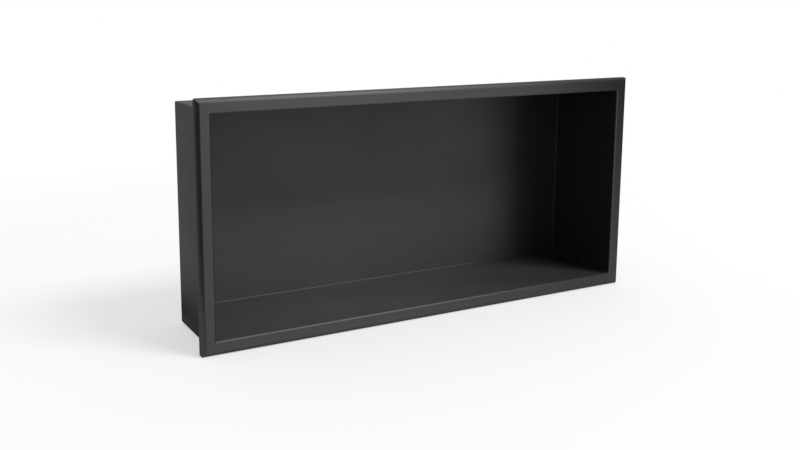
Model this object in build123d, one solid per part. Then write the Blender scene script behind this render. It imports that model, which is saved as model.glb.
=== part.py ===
from build123d import *
import os

# Shower niche insert: one folded and welded sheet-metal body, in millimetres.
# X runs along the wall, +Y into the wall, +Z up. The origin is the middle of
# the flange on the plane of the finished wall, which the flange's rim meets.

# Sheet
SHEET = 1.2

# Flange: the flat frame in front of the wall and the rim folded back from it
FLANGE_WIDTH = 600.0
FLANGE_HEIGHT = 288.0
FLANGE_BAR = 17.0
RIM_DEPTH = 8.0
RIM_BEND = 5.5
RIM_CORNER = 3.0
MOUTH_BEND = 2.0

# Niche behind the mouth of the flange
NICHE_DEPTH = 125.0
INSIDE_BEND = 0.8
FLOOR_FALL = 2.0
SKIRT_DROP = 14.0
SKIRT_RELIEF = 4.0

# Overlap of cutting blocks past a face, and the distance that counts as touching
OVERLAP = 0.5
TOUCH = 0.001

# Planes across the depth of the part
WALL = 0.0
FRONT = WALL - RIM_DEPTH
FLANGE_BACK = FRONT + SHEET
BACK_INSIDE = FRONT + NICHE_DEPTH
BACK_OUTSIDE = BACK_INSIDE + SHEET
SKIRT_FRONT = WALL + SKIRT_RELIEF

# Mouth of the niche, as seen from the front
MOUTH_WIDTH = FLANGE_WIDTH - 2 * FLANGE_BAR
MOUTH_TOP = FLANGE_HEIGHT / 2 - FLANGE_BAR
MOUTH_BOTTOM = -MOUTH_TOP
SKIRT_BOTTOM = MOUTH_BOTTOM - SKIRT_DROP
OUTSIDE_BEND = INSIDE_BEND + SHEET


def upright_block(outline, front, back):
    """Outline as seen from the front, drawn out between two depths."""
    return extrude(Plane.XZ.offset(-front) * outline, amount=front - back)


def bent_block(inset, front, back):
    """Flange block, inset all round: front edges bent over and mitred, rim corners dressed round."""
    width = FLANGE_WIDTH - 2 * inset
    height = FLANGE_HEIGHT - 2 * inset
    block = upright_block(Rectangle(width, height), front, back)
    front_edges = block.faces().sort_by(Axis.Y)[0].edges()
    bent = fillet(front_edges, RIM_BEND - inset)
    dressed = RectangleRounded(width, height, RIM_CORNER - inset)
    return bent & upright_block(dressed, front, back)


def side_profile(points, width):
    """Side view outline of (Y, Z) points, drawn out to both sides of the middle."""
    outline = Plane.YZ * make_face(Polyline(*points, close=True))
    return extrude(outline, amount=width / 2, both=True)


def floor_height(depth):
    """Height of the floor's upper side, which falls towards the mouth."""
    return MOUTH_BOTTOM + FLOOR_FALL * (depth - FRONT) / NICHE_DEPTH


def floor_underside(depth):
    """Height of the floor's lower side."""
    return floor_height(depth) - SHEET


def flange():
    """Flat frame with its rim, as a tray that is open to the wall."""
    outside = bent_block(0.0, FRONT, WALL)
    inside = bent_block(SHEET, FLANGE_BACK, WALL + OVERLAP)
    return outside - inside


def case():
    """Outside of the panels, with a level skirt that stands clear of the flange's rim."""
    start = FLANGE_BACK - SHEET / 2
    top = MOUTH_TOP + SHEET
    block = side_profile(
        [
            (start, floor_underside(start)),
            (SKIRT_FRONT, floor_underside(SKIRT_FRONT)),
            (SKIRT_FRONT, SKIRT_BOTTOM),
            (BACK_OUTSIDE, SKIRT_BOTTOM),
            (BACK_OUTSIDE, top),
            (start, top),
        ],
        MOUTH_WIDTH + 2 * SHEET,
    )
    front, relief = block.faces().filter_by(Axis.Y).sort_by(Axis.Y)[:2]
    bottom = block.faces().sort_by(Axis.Z)[0]
    cut_edges = front.edges() + relief.edges() + bottom.edges()
    bends = [edge for edge in block.edges() if edge not in cut_edges]
    return fillet(bends, OUTSIDE_BEND)


def cavity():
    """Space inside the niche, over the sloping floor."""
    start = FRONT - OVERLAP
    block = side_profile(
        [
            (start, floor_height(start)),
            (BACK_INSIDE, floor_height(BACK_INSIDE)),
            (BACK_INSIDE, MOUTH_TOP),
            (start, MOUTH_TOP),
        ],
        MOUTH_WIDTH,
    )
    front = block.faces().sort_by(Axis.Y)[0]
    bends = [edge for edge in block.edges() if edge not in front.edges()]
    return fillet(bends, INSIDE_BEND)


def recess():
    """Space under the floor, inside the skirt and open below and in front."""
    start = SKIRT_FRONT - OVERLAP
    below = SKIRT_BOTTOM - OVERLAP
    block = side_profile(
        [
            (start, below),
            (BACK_INSIDE, below),
            (BACK_INSIDE, floor_underside(BACK_INSIDE)),
            (start, floor_underside(start)),
        ],
        MOUTH_WIDTH,
    )
    back = block.faces().sort_by(Axis.Y)[-1]
    bends = back.edges().filter_by(Axis.Z)
    return fillet(bends, INSIDE_BEND)


def is_behind_flange(face):
    """Whether a face lies on the plane of the flange's hidden side."""
    box = face.bounding_box()
    return max(abs(box.min.Y - FLANGE_BACK), abs(box.max.Y - FLANGE_BACK)) < TOUCH


def bend_mouth(sheet):
    """Bend round the mouth: its outside at the front, its inside behind the flange."""
    front = sheet.faces().sort_by(Axis.Y)[0]
    sheet = fillet(front.inner_wires()[0].edges(), MOUTH_BEND)
    rear = sheet.faces().filter_by(is_behind_flange).sort_by(SortBy.AREA)[-1]
    return fillet(rear.inner_wires()[0].edges(), MOUTH_BEND - SHEET)


def niche_body():
    """Whole insert in one piece of sheet."""
    sheet = flange() + case() - cavity() - recess()
    return bend_mouth(sheet)


os.makedirs("parts", exist_ok=True)
export_step(niche_body(), "parts/niche_body.step")
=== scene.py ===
import math

import bpy
from mathutils import Matrix, Vector


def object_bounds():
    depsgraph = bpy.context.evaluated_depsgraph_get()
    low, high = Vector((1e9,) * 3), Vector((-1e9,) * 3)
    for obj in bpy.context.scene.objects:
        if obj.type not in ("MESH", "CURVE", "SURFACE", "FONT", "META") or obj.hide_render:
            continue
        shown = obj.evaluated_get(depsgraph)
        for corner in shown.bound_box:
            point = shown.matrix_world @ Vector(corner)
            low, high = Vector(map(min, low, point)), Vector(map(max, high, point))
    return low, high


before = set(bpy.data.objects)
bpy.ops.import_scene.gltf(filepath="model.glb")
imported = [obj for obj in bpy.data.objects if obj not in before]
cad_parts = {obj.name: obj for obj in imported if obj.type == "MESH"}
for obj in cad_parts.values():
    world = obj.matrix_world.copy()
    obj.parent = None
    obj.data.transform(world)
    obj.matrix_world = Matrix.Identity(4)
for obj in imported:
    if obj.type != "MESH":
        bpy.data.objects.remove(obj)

cad_low, cad_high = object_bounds()

# Camera, fitted to the straight edges of the photograph. An unturned camera looks straight down.
IMAGE_WIDTH_PX = 800
FOCAL_PX = 981.5
SENSOR_MM = 36.0
CAMERA_PLACE = Vector((-0.6170, -1.0079, 0.2632))
CAMERA_YAW_DEG = 29.51
CAMERA_PITCH_DEG = 10.13
CAMERA_ROLL_DEG = 0.47
CAMERA_SHIFT_Y = -0.08
DOWN_TO_LEVEL_DEG = 90.0

# Brushed black sheet
STEEL_COLOUR = (0.060, 0.060, 0.061)
STEEL_METALLIC = 0.85
STEEL_SPECULAR = 0.3
STEEL_EDGE_TINT = 0.7
STEEL_ROUGHNESS = 0.42
STEEL_ANISOTROPY = 0.92

# Brush lines, in metres, and what they and the smudges do to shade, roughness and surface
FINE_LINE_WIDTH = 0.0007
FINE_LINE_LENGTH = 0.05
BROAD_LINE_WIDTH = 0.007
BROAD_LINE_LENGTH = 0.4
LINE_DETAIL = 3.0
SMUDGE_SIZE = 0.07
NOISE_MIDDLE = 0.5
FINE_SHADE = 0.25
BROAD_SHADE = 0.12
FINE_ROUGHNESS = 0.12
SMUDGE_ROUGHNESS = 0.08
BUMP_STRENGTH = 0.15
BUMP_DEPTH = 0.0002

# Share of X in the normal from which the sheet counts as an end, and the small upright share
# of the tangent, which alone is left of it inside the ends
END_TURN = 0.3
TANGENT_RISE = 0.01
ALONG_WALL = (1, 0, 0)
INTO_WALL = (0, 1, 0)

# Floor: it takes the shadow near the part and clears to white further out
FLOOR_SIZE = 12.0
FLOOR_WHITE = 1.0
FLOOR_GLOW = 0.5
CLEAR_START = 0.4
CLEAR_END = 1.2

# Light: the levels of the white surround and of the key add up to 1
FILL_LEVEL = 0.62
KEY_LEVEL = 0.38
KEY_PLACE = Vector((3.30, -4.05, 6.10))
KEY_WIDTH = 3.6
KEY_HEIGHT = 2.5

# Dark cards beside the set: the corners of each, with heights above the floor.
# The right one leans away, the foot shadow card lies on the floor in the part's shadow as painted
# shadow, and the others stand upright.
CARD_GREY = 0.02
CARDS = {
    "rim_card": [
        (-0.26, -0.17, 0.05),
        (-0.46, -0.17, 0.05),
        (-0.46, -0.17, 0.80),
        (-0.26, -0.17, 0.80),
    ],
    "left_card": [
        (-0.26, -0.17, 0.00),
        (-1.00, 0.00, 0.00),
        (-1.00, 0.00, 0.40),
        (-0.26, -0.17, 0.40),
    ],
    "front_card": [
        (-0.04, -1.00, 0.00),
        (-0.26, -0.17, 0.00),
        (-0.26, -0.17, 0.40),
        (-0.04, -1.00, 0.40),
    ],
    "right_card": [
        (0.45, -0.27, 0.08),
        (0.90, 0.02, 0.08),
        (1.10, -0.20, 1.00),
        (0.65, -0.60, 1.00),
    ],
    # Painted shadow: a dark sheet on the floor beside the left panel's foot, seen only in the metal, so
    # the panel darkens towards its foot
    "foot_shadow_card": [
        (-0.31, 0.06, 0.001),
        (-0.34, 0.06, 0.001),
        (-0.36, 0.22, 0.001),
        (-0.31, 0.22, 0.001),
    ],
}


class Nodes:
    """Short way to add and link the nodes of one node tree."""

    def __init__(self, tree):
        self.tree = tree

    def add(self, kind, **settings):
        """New node of a kind, with its settings."""
        node = self.tree.nodes.new(kind)
        for name, value in settings.items():
            setattr(node, name, value)
        return node

    def feed(self, socket, value):
        """Link an output to a socket, or set the socket's own value."""
        if isinstance(value, bpy.types.NodeSocket):
            self.tree.links.new(value, socket)
        else:
            socket.default_value = value

    def math(self, operation, *values, clamp=False):
        """Math node over one to three values."""
        node = self.add("ShaderNodeMath", operation=operation, use_clamp=clamp)
        for socket, value in zip(node.inputs, values):
            self.feed(socket, value)
        return node.outputs[0]

    def vector(self, operation, *values, scale=None):
        """Vector Math node over one or two vectors, or a vector and a scale."""
        node = self.add("ShaderNodeVectorMath", operation=operation)
        for socket, value in zip(node.inputs, values):
            self.feed(socket, value)
        if scale is not None:
            self.feed(node.inputs["Scale"], scale)
        return node.outputs["Value" if operation == "LENGTH" else "Vector"]

    def part(self, vector, axis):
        """One coordinate of a vector."""
        node = self.add("ShaderNodeSeparateXYZ")
        self.feed(node.inputs[0], vector)
        return node.outputs[axis]

    def mix_vector(self, share, first, second):
        """First vector where the share is 0, second vector where it is 1."""
        node = self.add("ShaderNodeMix", data_type="VECTOR")
        self.feed(node.inputs[0], share)
        self.feed(node.inputs["A"], first)
        self.feed(node.inputs["B"], second)
        return node.outputs["Result"]


def seen_straight(nodes):
    """1 for the rays from the camera."""
    return nodes.add("ShaderNodeLightPath").outputs["Is Camera Ray"]


def seen_white(nodes):
    """1 for the rays that see the white background: straight, mirrored or through glass."""
    path = nodes.add("ShaderNodeLightPath")
    seen = nodes.math("MAXIMUM", path.outputs["Is Camera Ray"], path.outputs["Is Glossy Ray"])
    return nodes.math("MAXIMUM", seen, path.outputs["Is Transmission Ray"])


def make_camera():
    """Camera at the photograph's place, looking into the niche from its left."""
    data = bpy.data.cameras.new("camera")
    data.sensor_width = SENSOR_MM
    data.lens = FOCAL_PX * SENSOR_MM / IMAGE_WIDTH_PX
    data.shift_y = CAMERA_SHIFT_Y
    camera = bpy.data.objects.new("camera", data)
    bpy.context.scene.collection.objects.link(camera)
    turn = Matrix.Rotation(math.radians(-CAMERA_YAW_DEG), 4, "Z")
    tilt = Matrix.Rotation(math.radians(DOWN_TO_LEVEL_DEG - CAMERA_PITCH_DEG), 4, "X")
    roll = Matrix.Rotation(math.radians(CAMERA_ROLL_DEG), 4, "Z")
    camera.matrix_world = Matrix.Translation(CAMERA_PLACE) @ turn @ tilt @ roll
    bpy.context.scene.camera = camera


def dull_material(name, grey):
    """Material without gloss, in a shade of grey."""
    material = bpy.data.materials.new(name)
    material.use_nodes = True
    shader = material.node_tree.nodes["Principled BSDF"]
    shader.inputs["Base Color"].default_value = (grey, grey, grey, 1)
    shader.inputs["Roughness"].default_value = 1.0
    shader.inputs["Specular IOR Level"].default_value = 0.0
    return material


def add_sheet(name, corners, material):
    """Flat four-cornered piece of the studio."""
    mesh = bpy.data.meshes.new(name)
    mesh.from_pydata(corners, [], [(0, 1, 2, 3)])
    mesh.materials.append(material)
    card = bpy.data.objects.new(name, mesh)
    bpy.context.scene.collection.objects.link(card)
    return card


def floor_white():
    """White that keeps a soft shadow near the part and glows evenly further out."""
    material = dull_material("white_floor", FLOOR_WHITE)
    tree = material.node_tree
    nodes = Nodes(tree)
    place = nodes.add("ShaderNodeTexCoord").outputs["Object"]
    beyond = nodes.math("SUBTRACT", nodes.vector("LENGTH", place), CLEAR_START)
    clear = nodes.math("DIVIDE", beyond, CLEAR_END - CLEAR_START, clamp=True)
    lift = nodes.math("MULTIPLY", seen_straight(nodes), FLOOR_GLOW)
    share = nodes.math("MAXIMUM", clear, lift)
    glow = nodes.add("ShaderNodeEmission")
    mix = nodes.add("ShaderNodeMixShader")
    nodes.feed(mix.inputs[0], nodes.math("MULTIPLY", seen_white(nodes), share))
    nodes.feed(mix.inputs[1], tree.nodes["Principled BSDF"].outputs[0])
    nodes.feed(mix.inputs[2], glow.outputs[0])
    nodes.feed(tree.nodes["Material Output"].inputs["Surface"], mix.outputs[0])
    return material


def make_floor():
    """Plain white floor under the flange."""
    half = FLOOR_SIZE / 2
    z = cad_low.z
    corners = [(-half, -half, z), (half, -half, z), (half, half, z), (-half, half, z)]
    add_sheet("floor", corners, floor_white())


def make_cards():
    """Dark cards that the metal mirrors and that neither the camera nor the floor sees; the one lying
    at the foot is painted shadow.
    """
    material = dull_material("dark_card", CARD_GREY)
    for name, corners in CARDS.items():
        card = add_sheet(name, [(x, y, cad_low.z + height) for x, y, height in corners], material)
        card.visible_camera = False
        card.visible_diffuse = False
        card.visible_shadow = False


def make_world():
    """White surround, which lights the part at the fill's level."""
    world = bpy.data.worlds.new("studio")
    world.use_nodes = True
    nodes = Nodes(world.node_tree)
    background = world.node_tree.nodes["Background"]
    background.inputs["Color"].default_value = (1, 1, 1, 1)
    level = nodes.math("MULTIPLY_ADD", seen_white(nodes), 1 - FILL_LEVEL, FILL_LEVEL)
    nodes.feed(background.inputs["Strength"], level)
    bpy.context.scene.world = world


def make_key():
    """Broad soft light from the front and above, set to the right."""
    data = bpy.data.lights.new("key", "AREA")
    data.shape = "RECTANGLE"
    data.size = KEY_WIDTH
    data.size_y = KEY_HEIGHT
    distance = KEY_PLACE.length
    facing = math.hypot(KEY_PLACE.y, KEY_PLACE.z) / distance
    rise = KEY_PLACE.z / distance
    # Power at which a white level surface at the part takes the key's level
    data.energy = KEY_LEVEL * (math.pi * distance) ** 2 / (facing * rise)
    key = bpy.data.objects.new("key", data)
    bpy.context.scene.collection.objects.link(key)
    tilt = Matrix.Rotation(math.atan2(-KEY_PLACE.y, KEY_PLACE.z), 4, "X")
    key.matrix_world = Matrix.Translation(KEY_PLACE) @ tilt


def turned_outward(nodes, place, normal):
    """Turn of the normal to the nearer end: up to 1 outside the ends and down to -1 inside them."""
    end = nodes.math("SIGN", nodes.part(place, "X"))
    return nodes.math("MULTIPLY", end, nodes.part(normal, "X"))


def streaks(nodes, place, outside, inside, width, length):
    """Noise drawn out along the brush lines: upright outside the ends, along Y inside, else along X."""
    along_x = (1 / length, 1 / width, 1 / width)
    along_y = (1 / width, 1 / length, 1 / width)
    along_z = (1 / width, 1 / width, 1 / length)
    scale = nodes.mix_vector(outside, nodes.mix_vector(inside, along_x, along_y), along_z)
    noise = nodes.add("ShaderNodeTexNoise")
    noise.inputs["Scale"].default_value = 1.0
    noise.inputs["Detail"].default_value = LINE_DETAIL
    nodes.feed(noise.inputs["Vector"], nodes.vector("MULTIPLY", place, scale))
    return noise.outputs["Fac"]


def clouds(nodes, place, size):
    """Soft noise in all directions."""
    noise = nodes.add("ShaderNodeTexNoise")
    noise.inputs["Scale"].default_value = 1 / size
    nodes.feed(noise.inputs["Vector"], place)
    return noise.outputs["Fac"]


def varied(nodes, level, *parts):
    """Level, raised and lowered by a share of each noise about its middle."""
    for noise, share in parts:
        offset = nodes.math("SUBTRACT", noise, NOISE_MIDDLE)
        level = nodes.math("MULTIPLY_ADD", offset, share, level)
    return level


def brushed_steel():
    """Black-coated sheet with brush lines."""
    material = bpy.data.materials.new("brushed_black_steel")
    material.use_nodes = True
    nodes = Nodes(material.node_tree)
    shader = material.node_tree.nodes["Principled BSDF"]
    edge_tint = (STEEL_EDGE_TINT, STEEL_EDGE_TINT, STEEL_EDGE_TINT, 1)
    shader.inputs["Metallic"].default_value = STEEL_METALLIC
    shader.inputs["Specular IOR Level"].default_value = STEEL_SPECULAR
    shader.inputs["Specular Tint"].default_value = edge_tint
    shader.inputs["Anisotropic"].default_value = STEEL_ANISOTROPY

    place = nodes.add("ShaderNodeTexCoord").outputs["Object"]
    normal = nodes.add("ShaderNodeNewGeometry").outputs["Normal"]
    outward = turned_outward(nodes, place, normal)
    outside = nodes.math("GREATER_THAN", outward, END_TURN)
    inside = nodes.math("LESS_THAN", outward, -END_TURN)

    fine = streaks(nodes, place, outside, inside, FINE_LINE_WIDTH, FINE_LINE_LENGTH)
    broad = streaks(nodes, place, outside, inside, BROAD_LINE_WIDTH, BROAD_LINE_LENGTH)
    smudge = clouds(nodes, place, SMUDGE_SIZE)
    shade = varied(nodes, 1.0, (fine, FINE_SHADE), (broad, BROAD_SHADE))
    nodes.feed(shader.inputs["Base Color"], nodes.vector("SCALE", STEEL_COLOUR, scale=shade))
    roughness = varied(nodes, STEEL_ROUGHNESS, (fine, FINE_ROUGHNESS), (smudge, SMUDGE_ROUGHNESS))
    nodes.feed(shader.inputs["Roughness"], roughness)

    bump = nodes.add("ShaderNodeBump")
    bump.inputs["Strength"].default_value = BUMP_STRENGTH
    bump.inputs["Distance"].default_value = BUMP_DEPTH
    nodes.feed(bump.inputs["Height"], fine)
    nodes.feed(shader.inputs["Normal"], bump.outputs["Normal"])

    # The gloss spreads along the tangent, which runs across the brush lines
    across_x = nodes.vector("CROSS_PRODUCT", normal, ALONG_WALL)
    across_lines = nodes.vector("ADD", across_x, (0, 0, TANGENT_RISE))
    nodes.feed(shader.inputs["Tangent"], nodes.mix_vector(outside, across_lines, INTO_WALL))
    return material


make_camera()
make_floor()
make_cards()
make_world()
make_key()
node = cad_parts["niche_body"]
node.data.materials.clear()
node.data.materials.append(brushed_steel())

bpy.context.scene.view_settings.view_transform = "Standard"
